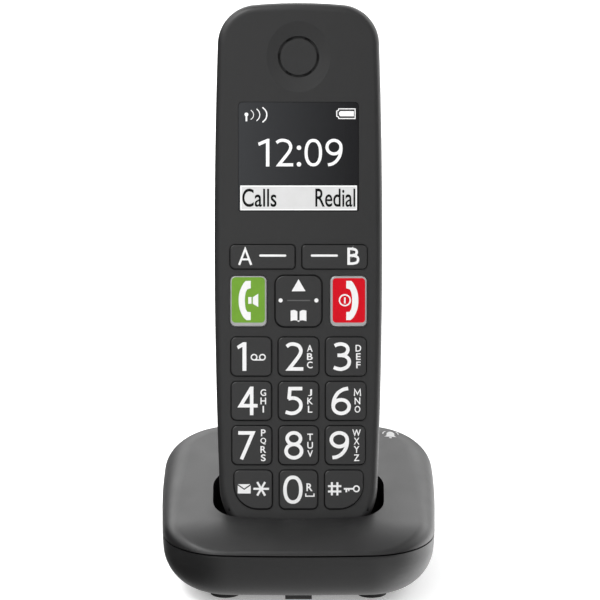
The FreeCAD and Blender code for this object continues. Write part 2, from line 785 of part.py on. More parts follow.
def well(name, grow, floor, height):
    """A column of the well's section along the handset's axis."""
    half = size("well_half") + grow
    back = size("well_back") + grow
    corner = size("well_corner") + grow
    turn = size("well_bow_angle")
    bow = corner + (size("well_half") - size("well_corner")) / sine(turn)
    pivot_u = size("well_half") - size("well_corner")
    pivot_v = size("well_front") + size("well_corner")
    aside, forward = pivot_u + corner * sine(turn), pivot_v - corner * cosine(turn)
    column = prism(name, "XY_Plane", (floor, height),
                   [(-aside, forward, bow), (aside, forward, corner), (half, pivot_v, None),
                    (half, back - corner, corner), (half - corner, back, None),
                    (corner - half, back, corner), (-half, back - corner, None),
                    (-half, pivot_v, corner)])
    column.Placement = SEAT
    return column


LIP_FROM = -30
WELL_FLOOR = size("well_floor")
bucket_outer = well("bucket_outer", base_wall, WELL_FLOOR - base_wall, 60)
bucket = common("bucket", bucket_outer, base_lip_outer)
top_shell = cut("top_shell", slice_z("top_half", base_skin, BASE_SPLIT + BASE_SEAM / 2, 60), base_hollow)
BASE_SCREWS = [(-31, -12), (31, -12), (-31, 26), (31, 26)]
BOSS_JOINT = 8.1
top_bosses = []
for number, at in enumerate(BASE_SCREWS):
    post = rod(f"top_boss_{number}", "z", 2.8, (BOSS_JOINT, 50), at)
    top_bosses.append(common(f"top_boss_cut_{number}", post, base_lip_outer))
top_solid = fuse("top_solid", top_shell, bucket, *top_bosses)
PAGE_X, PAGE_Z = 19, 22.0
PAGE_WIDE, PAGE_TALL = 12, 5
rebate = slice_z("rebate_part", base_form("base_rebate", -1.35), BASE_SPLIT - 1, BASE_SPLIT + 1.5,
                 LIP_FROM - 0.3)
top_tools = [well("well_space", 0, WELL_FLOOR, 70), cut("base_rebate_ring", rebate, base_lip_inner)]
top_tools += [rod(f"top_pilot_{n}", "z", 1.3, (BOSS_JOINT - 1, 14.5), at)
              for n, at in enumerate(BASE_SCREWS)]


def page_outline(grow):
    return rounded((PAGE_X - PAGE_WIDE / 2 - grow, PAGE_X + PAGE_WIDE / 2 + grow),
                   (PAGE_Z - PAGE_TALL / 2 - grow, PAGE_Z + PAGE_TALL / 2 + grow), 2.2 + grow)


top_tools.append(prism("page_opening", "XZ_Plane", (34, 46), page_outline(0.25)))
SPRING_X = 8.0
SPRING_Y = 13.1
for side in (-1, 1):
    slot = block(f"spring_slot_{side + 1}", (side * SPRING_X - 1.9, side * SPRING_X + 1.9),
                 (SPRING_Y - 1.4, SPRING_Y + 1.4), (-5, 1))
    top_tools.append(seat(slot))
top_cut = cut("top_cut", top_solid, *top_tools)
ribs = []
for side in (-1, 1):
    ends = sorted((side * 3.0, side * 4.6))
    ribs.append(seat(block(f"rest_rib_{side + 1}", ends, (3, 11), (WELL_FLOOR - 0.3, -0.1))))
node("base_top_cover", fuse("base_top_cover", top_cut, *ribs))

# Bottom cover: a tray with a locating lip, screw bosses, board posts, foot recesses and a tab.
FOOT = size("foot_height")
tray = cut("tray", slice_z("bottom_half", base_skin, 0, BASE_SPLIT - BASE_SEAM / 2), base_hollow)
base_lip = cut("base_lip", slice_z("base_lip_part", base_lip_outer, BASE_SPLIT - 2,
                                   BASE_SPLIT + 1.2, LIP_FROM), base_lip_inner)
floor = FOOT + base_wall
BOARD_LOW = size("base_board_top") - 1.6
tray_parts = [tray, base_lip]
for number, at in enumerate(BASE_SCREWS):
    post = rod(f"tray_post_{number}", "z", 3.8, (FOOT, BOSS_JOINT - 0.1), at)
    tray_parts.append(common(f"tray_boss_{number}", post, base_skin))
for number, at in enumerate(((-22, 8), (22, 8), (-22, 31), (22, 31))):
    tray_parts.append(rod(f"board_post_{number}", "z", 2.0, (3.0, BOARD_LOW), at))
tray_parts.append(block("front_tab", (-4, 4), (-30.5, -26.5), (0.35, 3.0)))
tray_solid = fuse("tray_solid", *tray_parts)
SCREW_SEAT = 4.1
FEET = [(x, y) for x in (-22, 22) for y in (-24, 24)]
SOCKETS = (("power_socket", -9), ("line_socket", 9))
tray_tools = []
for number, at in enumerate(BASE_SCREWS):
    tray_tools.append(rod(f"tray_hole_{number}", "z", 1.4, (1, BOSS_JOINT + 1), at))
    tray_tools.append(rod(f"tray_sink_{number}", "z", 2.6, (0, SCREW_SEAT), at))
for number, at in enumerate(FEET):
    tray_tools.append(rod(f"foot_recess_{number}", "z", 4.65, (0, FOOT + 0.6), at))
socket_low = size("base_board_top") + 0.05
for name, x in SOCKETS:
    half = size("socket_width") / 2 + 0.25
    tray_tools.append(block(name + "_hole", (x - half, x + half), (30, 50),
                            (socket_low - 0.25, socket_low + size("socket_height") + 0.25)))
node("base_bottom_cover", cut("base_bottom_cover", tray_solid, *tray_tools))

# Board, sockets and their contacts.
node("base_board", prism("base_board", "XY_Plane", (BOARD_LOW, size("base_board_top")),
                         rounded((-26, 26), (5, 34.2), 3)))
blades = []
for name, x in SOCKETS:
    half = size("socket_width") / 2
    face = size("socket_face")
    shell = block(name + "_shell", (x - half, x + half), (face - size("socket_depth"), face),
                  (socket_low, socket_low + size("socket_height")))
    mouth_half = size("mouth_width") / 2
    sill = socket_low + 1.1
    mouth = block(name + "_mouth", (x - mouth_half, x + mouth_half),
                  (face - size("mouth_depth"), face + 1), (sill, sill + size("mouth_height")))
    key_slot = block(name + "_latch_slot", (x - 2, x + 2), (face - 6, face + 1),
                     (sill - 0.6, sill + 0.1))
    node(name, cut(name, shell, mouth, key_slot))
    for place in range(4):
        at = x - 1.8 + 1.2 * place
        blades.append(block(f"{name}_blade_{place}", (at - 0.2, at + 0.2),
                            (face - 9.5, face - 2.5),
                            (sill + size("mouth_height") - 0.9, sill + size("mouth_height") - 0.1)))
node("socket_contacts", group("socket_contacts", *blades))

# Paging button with its leg, and the switch that it presses.
outside = base_form("page_outside", 0.55)
page_cap = common("page_cap", prism("page_column", "XZ_Plane", (37.5, 46), page_outline(0)),
                  outside)
page_flange = block("page_flange", (PAGE_X - 7, PAGE_X + 7), (36.7, 37.7), (19.5, 25.0))
page_leg = block("page_leg", (PAGE_X - 1.6, PAGE_X + 1.6), (35.6, 36.8), (11.0, 22.0))
node("paging_button", fuse("paging_button", page_cap, page_flange, page_leg))
node("paging_switch", fuse("paging_switch",
                           block("switch_body", (PAGE_X - 3, PAGE_X + 3), (30.6, 34.2),
                                 (socket_low, 14.2)),
                           rod("switch_nub", "y", 1.2, (34.0, 34.7), (PAGE_X, 12.4))))

# Charging springs: a rounded post through the well's floor, with a foot under it.
for name, side in (("charge_spring_left", -1), ("charge_spring_right", 1)):
    x = side * SPRING_X
    post = block(name + "_post", (x - 1.5, x + 1.5), (SPRING_Y - 1.0, SPRING_Y + 1.0), (-5.6, -1.25))
    crest = rod(name + "_crest", "x", 1.0, (x - 1.5, x + 1.5), (SPRING_Y, -1.25))
    foot = block(name + "_foot", (x - 2.6, x + 2.6), (SPRING_Y - 2.2, SPRING_Y + 2.2), (-3.9, -3.2))
    node(name, fuse(name, post, crest, foot), seated=True)

# Feet and screws under the base.
node("base_feet", group("base_feet", *[rod(f"foot_{n}", "z", 4.5, (0, FOOT + 0.5), at)
                                       for n, at in enumerate(FEET)]))
node("base_screws", group("base_screws", *[screw(f"base_screw_{n}", "z", SCREW_SEAT - 0.02, 1.6,
                                                 14.0, at)
                                           for n, at in enumerate(BASE_SCREWS)]))

# ---- check and write ----

doc.recompute()
for thing in doc.Objects:
    if "Invalid" in thing.State or "Error" in thing.State:
        raise RuntimeError(f"{thing.Name} is {thing.State}")
for name, thing in nodes.items():
    if thing.Shape.isNull() or not thing.Shape.isValid():
        raise RuntimeError(f"{name} has no valid shape")

os.makedirs("parts", exist_ok=True)
whole = FreeCAD.BoundBox()
for name, thing in nodes.items():
    thing.Shape.exportStep(f"parts/{name}.step")
    whole.add(thing.Shape.optimalBoundingBox(False))
    print(f"{name}: {len(thing.Shape.Solids)} solid(s), {thing.Shape.Volume:.0f} mm3")
print(f"{len(nodes)} nodes, box {whole}")
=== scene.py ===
import math

import bmesh
import bpy
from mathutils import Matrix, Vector


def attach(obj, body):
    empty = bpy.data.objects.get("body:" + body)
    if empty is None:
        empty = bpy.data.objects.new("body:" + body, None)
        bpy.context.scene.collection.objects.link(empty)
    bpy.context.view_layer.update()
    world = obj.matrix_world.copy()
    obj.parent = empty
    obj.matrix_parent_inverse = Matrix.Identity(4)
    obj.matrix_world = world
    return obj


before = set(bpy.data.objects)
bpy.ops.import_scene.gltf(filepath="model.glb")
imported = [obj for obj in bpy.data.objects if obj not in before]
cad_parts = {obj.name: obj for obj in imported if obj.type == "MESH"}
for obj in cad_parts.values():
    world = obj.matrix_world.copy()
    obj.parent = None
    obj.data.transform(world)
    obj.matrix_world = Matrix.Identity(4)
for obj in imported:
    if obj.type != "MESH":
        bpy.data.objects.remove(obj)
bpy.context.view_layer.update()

# Lengths below are in millimetres unless a name says otherwise.  The handset is drawn in its
# own frame, X across, Y from its face into its body, Z from its lower end up, as in the CAD.
MM = 0.001
LEAN = math.radians(18.0)
SEAT_Y = -25.89
SEAT_Z = 15.8
KEY_PROUD = 0.55
KEY_CROWN = 601.1
WINDOW_DEPTH = 0.1
WINDOW_CROWN = 600.0

# The base's top: its height at the front edge, its slope, and the radius it is crowned to across.
BASE_FRONT_Y = -41.5
BASE_FRONT_TOP = 21.8
BASE_SLOPE = math.radians(10.0)
BASE_CROWN = 450.0


def seat(x, y, z):
    """A point of the handset's frame as a point of the row frame, in metres."""
    return Vector((x,
                   SEAT_Y + y * math.cos(LEAN) + z * math.sin(LEAN),
                   SEAT_Z - y * math.sin(LEAN) + z * math.cos(LEAN))) * MM


def on_keys(x):
    """Depth of the crowned key tops at that place across."""
    return -KEY_PROUD + x * x / KEY_CROWN


def on_window(x):
    """Depth of the display window's outer face."""
    return WINDOW_DEPTH + x * x / WINDOW_CROWN


def on_base(x, depth, y):
    """The point that far under the base's crowned and sloping top, in metres."""
    drop = BASE_CROWN - math.sqrt(BASE_CROWN ** 2 - x * x)
    top = (BASE_FRONT_TOP + (y - BASE_FRONT_Y) * math.tan(BASE_SLOPE)
           - drop / math.cos(BASE_SLOPE))
    return Vector((x, y, top - depth)) * MM


# ---- camera, light and floor ----

def make_camera():
    elevation = math.radians(18.5)
    distance = 3.0
    width_seen = 0.18036
    aim = Vector((0.00045, 0.0, 0.0849))
    data = bpy.data.cameras.new("camera")
    data.sensor_width = 36.0
    data.lens = data.sensor_width * distance / width_seen
    camera = bpy.data.objects.new("camera", data)
    bpy.context.scene.collection.objects.link(camera)
    back = Vector((0.0, -math.cos(elevation), math.sin(elevation)))
    camera.location = aim + back * distance
    camera.rotation_euler = (math.pi / 2 - elevation, 0.0, 0.0)
    bpy.context.scene.camera = camera


def node_maker(tree):
    """A short way to add a node: kind, its settings, and what feeds its inputs."""
    def make(kind, settings=None, **inputs):
        node = tree.nodes.new(kind)
        for name, value in (settings or {}).items():
            setattr(node, name, value)
        for name, value in inputs.items():
            key = int(name[1:]) if name[0] == "i" and name[1:].isdigit() else name.replace("_", " ")
            if isinstance(value, bpy.types.NodeSocket):
                tree.links.new(value, node.inputs[key])
            else:
                node.inputs[key].default_value = value
        return node
    return make


def make_world():
    """A pale room: brightest high behind and at the upper left, dimmest low on the left."""
    world = bpy.data.worlds.new("studio")
    bpy.context.scene.world = world
    world.use_nodes = True
    tree = world.node_tree
    tree.nodes.clear()
    make = node_maker(tree)
    toward = make("ShaderNodeTexCoord").outputs["Generated"]
    parts = make("ShaderNodeSeparateXYZ", i0=toward)
    x, y, z = (parts.outputs[axis] for axis in "XYZ")

    def band(value, low, high, to_low, to_high):
        ramp = make("ShaderNodeMapRange", {"interpolation_type": "SMOOTHSTEP"},
                    i0=value, i1=low, i2=high, i3=to_low, i4=to_high)
        return ramp.outputs[0]

    def maths(operation, a, b):
        return make("ShaderNodeMath", {"operation": operation}, i0=a, i1=b).outputs[0]

    def times(a, b):
        return maths("MULTIPLY", a, b)

    def plus(a, b):
        return maths("ADD", a, b)

    behind = times(band(y, 0.05, 0.60, 0.0, 2.3), band(z, 0.20, 0.55, 0.05, 1.0))
    overhead = band(z, 0.55, 0.90, 1.0, 0.22)
    slant = plus(z, times(x, -0.7))
    front = band(slant, -0.35, 0.75, 0.15, 1.45)
    below = times(band(z, -0.25, -0.02, 0.6, 0.0), band(x, -0.1, 0.3, 0.8, 2.0))
    right = times(band(x, 0.20, 0.75, 0.0, 2.2), band(y, -0.4, 0.2, 0.0, 1.0))
    high_left = times(band(x, -0.75, -0.25, 0.9, 0.0), band(z, 0.15, 0.45, 0.0, 1.0))
    low_left = times(band(x, -0.60, -0.15, 1.0, 0.0), band(z, 0.15, 0.60, 0.96, 0.0))
    lit = plus(times(plus(plus(front, behind), plus(right, high_left)), overhead), below)
    level = times(lit, maths("SUBTRACT", 1.0, low_left))
    strength = maths("MAXIMUM", level, 0.04)
    background = make("ShaderNodeBackground", Color=(1.0, 1.0, 1.0, 1.0), Strength=strength)
    output = make("ShaderNodeOutputWorld")
    tree.links.new(background.outputs[0], output.inputs["Surface"])
    bpy.context.scene.view_settings.view_transform = "Standard"


def make_lamp():
    """A soft square lamp above and to the left, turned to the middle of the phone; in metres."""
    place = Vector((-0.55, -0.25, 1.15))
    aim = Vector((0.0, 0.0, 0.08))
    data = bpy.data.lights.new("key_lamp", "AREA")
    data.size = 0.50
    data.energy = 9.0
    lamp = bpy.data.objects.new("key_lamp", data)
    lamp.location = place
    lamp.rotation_euler = (aim - place).to_track_quat("-Z", "Y").to_euler()
    bpy.context.scene.collection.objects.link(lamp)


def make_floor():
    """A pale, faintly luminous floor just under the feet; reflections look past it."""
    mesh = bpy.data.meshes.new("floor")
    reach = 6.0
    level = -0.00002
    corners = [(-reach, -reach), (reach, -reach), (reach, reach), (-reach, reach)]
    mesh.from_pydata([(x, y, level) for x, y in corners], [], [(0, 1, 2, 3)])
    floor = bpy.data.objects.new("floor", mesh)
    bpy.context.scene.collection.objects.link(floor)
    material = bpy.data.materials.new("pale_floor")
    material.use_nodes = True
    shader = material.node_tree.nodes["Principled BSDF"]
    shader.inputs["Base Color"].default_value = (0.93, 0.93, 0.93, 1.0)
    shader.inputs["Roughness"].default_value = 0.9
    shader.inputs["Specular IOR Level"].default_value = 0.1
    shader.inputs["Emission Color"].default_value = (1.0, 1.0, 1.0, 1.0)
    shader.inputs["Emission Strength"].default_value = 0.3
    mesh.materials.append(material)
    floor.visible_glossy = False


# ---- materials ----

def shade(name, colour, mottling, patch, rough, rough_spread, grain, bump, **fixed):
    """Moulded or printed surface: colour mottled in soft patches, fine grain in its relief.

    patch and grain are the sizes in mm of the colour patches and of the relief."""
    material = bpy.data.materials.new(name)
    material.use_nodes = True
    tree = material.node_tree
    shader = tree.nodes["Principled BSDF"]
    make = node_maker(tree)
    place = make("ShaderNodeTexCoord").outputs["Object"]
    clouds = make("ShaderNodeTexNoise", Vector=place, Scale=1.0 / (patch * MM), Detail=3.0)
    tones = make("ShaderNodeValToRGB", Fac=clouds.outputs[0])
    for stop, side in zip(tones.color_ramp.elements, (-1, 1)):
        stop.position = 0.5 + 0.22 * side
        stop.color = [c * (1 + mottling * side) for c in colour] + [1.0]
    tree.links.new(tones.outputs[0], shader.inputs["Base Color"])
    specks = make("ShaderNodeTexNoise", Vector=place, Scale=1.0 / (grain * MM), Detail=2.0,
                  Roughness=0.6)
    polish = make("ShaderNodeMapRange", i0=clouds.outputs[0], i1=0.3, i2=0.7,
                  i3=rough - rough_spread, i4=rough + rough_spread)
    tree.links.new(polish.outputs[0], shader.inputs["Roughness"])
    relief = make("ShaderNodeBump", Strength=bump, Distance=grain * MM * 0.5,
                  Height=specks.outputs[0])
    tree.links.new(relief.outputs[0], shader.inputs["Normal"])
    for socket, value in fixed.items():
        shader.inputs[socket.replace("_", " ")].default_value = value
    return material


SHADE_FLOOR = 2.5


def deepen(material, start, full, half_width=60.0, low=-60.0, high=220.0):
    """Darken what lies deeper under the handset's face than start, most from full on.

    It stands for the shade in the thin gaps round the keys.  Only the part between the two
    heights, within half_width of the middle and above SHADE_FLOOR deep is touched."""
    tree = material.node_tree
    shader = tree.nodes["Principled BSDF"]
    tone = shader.inputs["Base Color"].links[0].from_socket
    make = node_maker(tree)
    place = make("ShaderNodeTexCoord").outputs["Object"]

    def maths(operation, a, b=0.0):
        return make("ShaderNodeMath", {"operation": operation}, i0=a, i1=b).outputs[0]

    def along(direction, offset):
        dot = make("ShaderNodeVectorMath", {"operation": "DOT_PRODUCT"}, i0=place, i1=direction)
        return maths("SUBTRACT", dot.outputs["Value"], offset * MM)

    c, s = math.cos(LEAN), math.sin(LEAN)
    across = along((1.0, 0.0, 0.0), 0.0)
    depth = along((0.0, c, -s), SEAT_Y * c - SEAT_Z * s)
    height = along((0.0, s, c), SEAT_Y * s + SEAT_Z * c)
    bow = maths("DIVIDE", maths("MULTIPLY", across, across), 601.1 * MM)
    dark = make("ShaderNodeMapRange", i0=maths("SUBTRACT", depth, bow), i1=start * MM,
                i2=full * MM, i3=0.0, i4=0.92).outputs[0]
    within = maths("LESS_THAN", maths("ABSOLUTE", across), half_width * MM)
    within = maths("MULTIPLY", within, maths("GREATER_THAN", height, low * MM))
    within = maths("MULTIPLY", within, maths("LESS_THAN", height, high * MM))
    within = maths("MULTIPLY", within, maths("LESS_THAN", depth, SHADE_FLOOR * MM))
    left = maths("SUBTRACT", 1.0, maths("MULTIPLY", dark, within))
    shaded = make("ShaderNodeVectorMath", {"operation": "SCALE"}, i0=tone, Scale=left)
    tree.links.new(shaded.outputs[0], shader.inputs["Base Color"])
    tree.links.new(maths("MULTIPLY", left, 0.5), shader.inputs["Specular IOR Level"])
    return material


def grey(level):
    return (level, level, level)


def make_materials():
    black = (0.0100, 0.0100, 0.0103)
    return {
        "handset": shade("handset_plastic", black, 0.05, 6.0, 0.46, 0.03, 0.16, 0.30),
        "face": deepen(shade("face_plastic", black, 0.05, 6.0, 0.46, 0.03, 0.16, 0.30),
                       0.06, 0.22, 21.0, 10.4, 93.0),
        "base": shade("base_plastic", (0.0075, 0.0075, 0.0077), 0.05, 8.0, 0.42, 0.03, 0.18, 0.30),
        "key": deepen(shade("key_plastic", (0.0120, 0.0120, 0.0123), 0.05, 3.0, 0.40, 0.03, 0.12,
                            0.22), -0.42, -0.28),
        "rim": shade("silver_rim", grey(0.33), 0.05, 1.5, 0.38, 0.05, 0.08, 0.15, Metallic=0.35),
        "green": shade("green_panel", (0.128, 0.275, 0.026), 0.04, 2.0, 0.46, 0.04, 0.10, 0.12,
                       Specular_IOR_Level=0.18),
        "red": shade("red_panel", (0.500, 0.0010, 0.009), 0.04, 2.0, 0.46, 0.04, 0.10, 0.12,
                     Specular_IOR_Level=0.12),
        "ink": shade("white_ink", grey(0.68), 0.03, 0.6, 0.50, 0.05, 0.05, 0.10),
        "engraving": shade("engraved_line", grey(0.075), 0.05, 0.8, 0.5, 0.04, 0.06, 0.10),
        "lit": shade("lit_segments", grey(0.70), 0.02, 0.5, 0.35, 0.03, 0.20, 0.02,
                     Emission_Color=(1.0, 1.0, 1.0, 1.0), Emission_Strength=0.12),
        "bar": shade("lit_bar", grey(0.56), 0.02, 3.0, 0.35, 0.03, 0.20, 0.02),
        "dark_segments": shade("dark_segments", grey(0.004), 0.1, 0.5, 0.5, 0.03, 0.2, 0.02,
                               Specular_IOR_Level=0.1),
        "glass": display_glass(),
        "rubber": shade("foot_rubber", grey(0.018), 0.12, 1.2, 0.82, 0.06, 0.25, 0.6),
        "steel": shade("screw_steel", grey(0.42), 0.10, 0.8, 0.34, 0.08, 0.12, 0.2, Metallic=1.0),
        "black_steel": shade("blackened_steel", grey(0.035), 0.10, 0.8, 0.45, 0.05, 0.12, 0.2),
        "spring": shade("spring_steel", (0.62, 0.58, 0.50), 0.06, 0.8, 0.26, 0.06, 0.10, 0.15,
                        Metallic=1.0),
        "gold": shade("contact_gold", (0.80, 0.60, 0.26), 0.05, 0.8, 0.25, 0.05, 0.08, 0.12,
                      Metallic=1.0),
        "board": circuit_board(),
        "silicone": shade("silicone_mat", (0.10, 0.10, 0.11), 0.08, 2.0, 0.62, 0.05, 0.2, 0.3),
        "sleeve": shade("battery_sleeve", (0.05, 0.16, 0.30), 0.06, 4.0, 0.30, 0.05, 0.3, 0.1),
        "inner": shade("inner_plastic", grey(0.020), 0.08, 3.0, 0.55, 0.05, 0.2, 0.35),
        "socket": shade("socket_plastic", grey(0.030), 0.08, 1.5, 0.45, 0.05, 0.15, 0.3),
    }


def display_glass():
    """The dark display under its window; its colour is painted lighter towards the left, a painted
    reflection.
    """
    material = shade("display_glass", (0.0215, 0.0225, 0.0245), 0.04, 12.0, 0.16, 0.02, 0.6, 0.02,
                     Specular_IOR_Level=0.22)
    tree = material.node_tree
    shader = tree.nodes["Principled BSDF"]
    make = node_maker(tree)
    parts = make("ShaderNodeSeparateXYZ", i0=make("ShaderNodeTexCoord").outputs["Object"])
    # Painted reflection: the pane's colour runs from lighter at the left to darker at the right.
    across = make("ShaderNodeMapRange", i0=parts.outputs["X"], i1=-18 * MM, i2=18 * MM,
                  i3=1.0, i4=0.0)
    painted_reflection = make("ShaderNodeValToRGB", Fac=across.outputs[0])
    painted_reflection.color_ramp.elements[0].color = (0.0030, 0.0030, 0.0040, 1.0)
    painted_reflection.color_ramp.elements[1].color = (0.0250, 0.0262, 0.0285, 1.0)
    tree.links.new(painted_reflection.outputs[0], shader.inputs["Base Color"])
    return material


def circuit_board():
    """Green solder mask over a pattern of copper lands."""
    material = shade("circuit_board", (0.010, 0.090, 0.035), 0.1, 5.0, 0.34, 0.05, 0.3, 0.2)
    tree = material.node_tree
    shader = tree.nodes["Principled BSDF"]
    make = node_maker(tree)
    place = make("ShaderNodeTexCoord").outputs["Object"]
    lands = make("ShaderNodeTexVoronoi", {"distance": "CHEBYCHEV"}, Vector=place,
                 Scale=1.0 / (2.4 * MM))
    trace = make("ShaderNodeValToRGB", Fac=lands.outputs["Distance"])
    trace.color_ramp.interpolation = "CONSTANT"
    trace.color_ramp.elements[0].color = (0.35, 0.24, 0.08, 1.0)
    trace.color_ramp.elements[1].position = 0.16
    trace.color_ramp.elements[1].color = (0.010, 0.085, 0.034, 1.0)
    tree.links.new(trace.outputs[0], shader.inputs["Base Color"])
    return material


# ---- flat shapes, drawn in x and z ----

def smooth(points, steps=7):
    """Points of a soft curve through the given points."""
    ends = [points[0]] + list(points) + [points[-1]]
    curve = []
    for a, b, c, d in zip(ends, ends[1:], ends[2:], ends[3:]):
        for step in range(steps):
            t = step / steps
            curve.append(tuple(
                0.5 * (2 * q + (r - p) * t + (2 * p - 5 * q + 4 * r - s) * t * t
                       + (3 * q - p - 3 * r + s) * t ** 3)
                for p, q, r, s in zip(a, b, c, d)))
    return curve + [points[-1]]


def oval(x, z, half_x, half_z, power=2.0, count=48):
    """A closed oval: power 2 is an ellipse, more is squarer."""
    points = []
    for n in range(count):
        angle = 2 * math.pi * n / count
        c, s = math.cos(angle), math.sin(angle)
        points.append((x + half_x * math.copysign(abs(c) ** (2 / power), c),
                       z + half_z * math.copysign(abs(s) ** (2 / power), s)))
    return points


def rounded(x0, x1, z0, z1, radius, count=6):
    """A rectangle with rounded corners, counter-clockwise."""
    points = []
    for x, z, start in ((x1 - radius, z0 + radius, -90), (x1 - radius, z1 - radius, 0),
                        (x0 + radius, z1 - radius, 90), (x0 + radius, z0 + radius, 180)):
        for n in range(count + 1):
            angle = math.radians(start + 90 * n / count)
            points.append((x + radius * math.cos(angle), z + radius * math.sin(angle)))
    return points


# How far shapes lie apart, how deep they go into their surface, and the width of the strips
# that they are cut into so that they follow its crown.
LAYER = 0.005
SINK = 0.03
STRIP = 1.0


class Drawing:
    """Flat shapes that are then laid on a surface as thin closed solids."""

    def __init__(self, x=0.0, z=0.0, wide=1.0, tall=1.0):
        self.mesh = bmesh.new()
        self.layer = 0.0
        self.x, self.z, self.wide, self.tall = x, z, wide, tall

    def at(self, x, z, wide=1.0, tall=1.0):
        """Shapes added from here on are placed there, and drawn that wide and tall."""
        self.x, self.z, self.wide, self.tall = x, z, wide, tall
        return self

    def _corner(self, point):
        x, z = point
        return self._vert(self.x + x * self.wide, self.z + z * self.tall)

    def _vert(self, x, z):
        return self.mesh.verts.new((x, self.layer, z))

    def polygon(self, points):
        self.mesh.faces.new([self._corner(p) for p in points])
        return self._next_layer()

    def _next_layer(self):
        """Each shape lies a hair above the one before, so that no two faces share a plane."""
        self.layer += LAYER
        return self

    def stroke(self, points, width, closed=False):
        """A line of even width with mitred corners."""
        placed = [(x * self.wide, z * self.tall) for x, z in points]
        count = len(placed)
        rails = []
        for n, (x, z) in enumerate(placed):
            before = placed[n - 1] if (n or closed) else None
            after = placed[(n + 1) % count] if (n < count - 1 or closed) else None
            sides = []
            for p, q in ((before, (x, z)), ((x, z), after)):
                if p is not None and q is not None:
                    length = math.hypot(q[0] - p[0], q[1] - p[1]) or 1.0
                    sides.append(((p[1] - q[1]) / length, (q[0] - p[0]) / length))
            nx = sum(s[0] for s in sides)
            nz = sum(s[1] for s in sides)
            length = math.hypot(nx, nz) or 1.0
            nx, nz = nx / length, nz / length
            reach = width / 2 / max(0.42, nx * sides[0][0] + nz * sides[0][1])
            rails.append([self._vert(self.x + x + nx * reach * way,
                                     self.z + z + nz * reach * way) for way in (1, -1)])
        for n in range(count if closed else count - 1):
            (a, b), (c, d) = rails[n], rails[(n + 1) % count]
            self.mesh.faces.new((a, b, d, c))
        return self._next_layer()

    def text(self, words, centre, height, width=None, bold=0.0):
        """Letters of the built-in typeface, fitted to a box."""
        data = bpy.data.curves.new("letters", "FONT")
        data.body = words
        data.offset = bold
        data.resolution_u = 6
        holder = bpy.data.objects.new("letters", data)
        bpy.context.scene.collection.objects.link(holder)
        bpy.context.view_layer.update()
        flat = bpy.data.meshes.new_from_object(
            holder.evaluated_get(bpy.context.evaluated_depsgraph_get()))
        bpy.data.objects.remove(holder)
        xs = [v.co.x for v in flat.vertices]
        ys = [v.co.y for v in flat.vertices]
        scale = height / (max(ys) - min(ys))
        wide = (width / (max(xs) - min(xs))) if width else scale
        middle = ((max(xs) + min(xs)) / 2, (max(ys) + min(ys)) / 2)
        corners = [self._vert(self.x + centre[0] + (v.co.x - middle[0]) * wide,
                              self.z + centre[1] + (v.co.y - middle[1]) * scale)
                   for v in flat.vertices]
        for face in flat.polygons:
            try:
                self.mesh.faces.new([corners[v] for v in face.vertices])
            except ValueError:
                continue
        bpy.data.meshes.remove(flat)
        return self._next_layer()

    def lay(self, name, body, depth, material, proud=0.03, slot=None, place=seat):
        """Lay the shapes on the surface whose depth is depth(x), and let them ride on body.

        place turns x, depth and z into a point; proud is how far the shapes stand out."""
        mesh = self.mesh
        bmesh.ops.remove_doubles(mesh, verts=mesh.verts[:], dist=0.0004)
        bmesh.ops.triangulate(mesh, faces=[f for f in mesh.faces if len(f.verts) > 4])
        low = min(v.co.x for v in mesh.verts)
        high = max(v.co.x for v in mesh.verts)
        for n in range(1, int((high - low) / STRIP) + 1):
            bmesh.ops.bisect_plane(mesh, geom=mesh.verts[:] + mesh.edges[:] + mesh.faces[:],
                                   plane_co=(low + n * STRIP, 0, 0), plane_no=(1, 0, 0), dist=1e-5)
        under = set(mesh.verts)
        bmesh.ops.extrude_face_region(mesh, geom=mesh.faces[:], use_keep_orig=True)
        for vert in mesh.verts:
            lift = SINK if vert in under else -proud - vert.co.y
            vert.co = place(vert.co.x, depth(vert.co.x) + lift, vert.co.z)
        bmesh.ops.recalc_face_normals(mesh, faces=mesh.faces[:])
        data = bpy.data.meshes.new(name)
        mesh.to_mesh(data)
        mesh.free()
        data.materials.append(material)
        piece = bpy.data.objects.new(name, data)
        bpy.context.scene.collection.objects.link(piece)
        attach(piece, body)
        return piece


# ---- legends ----

PEN = 1.06

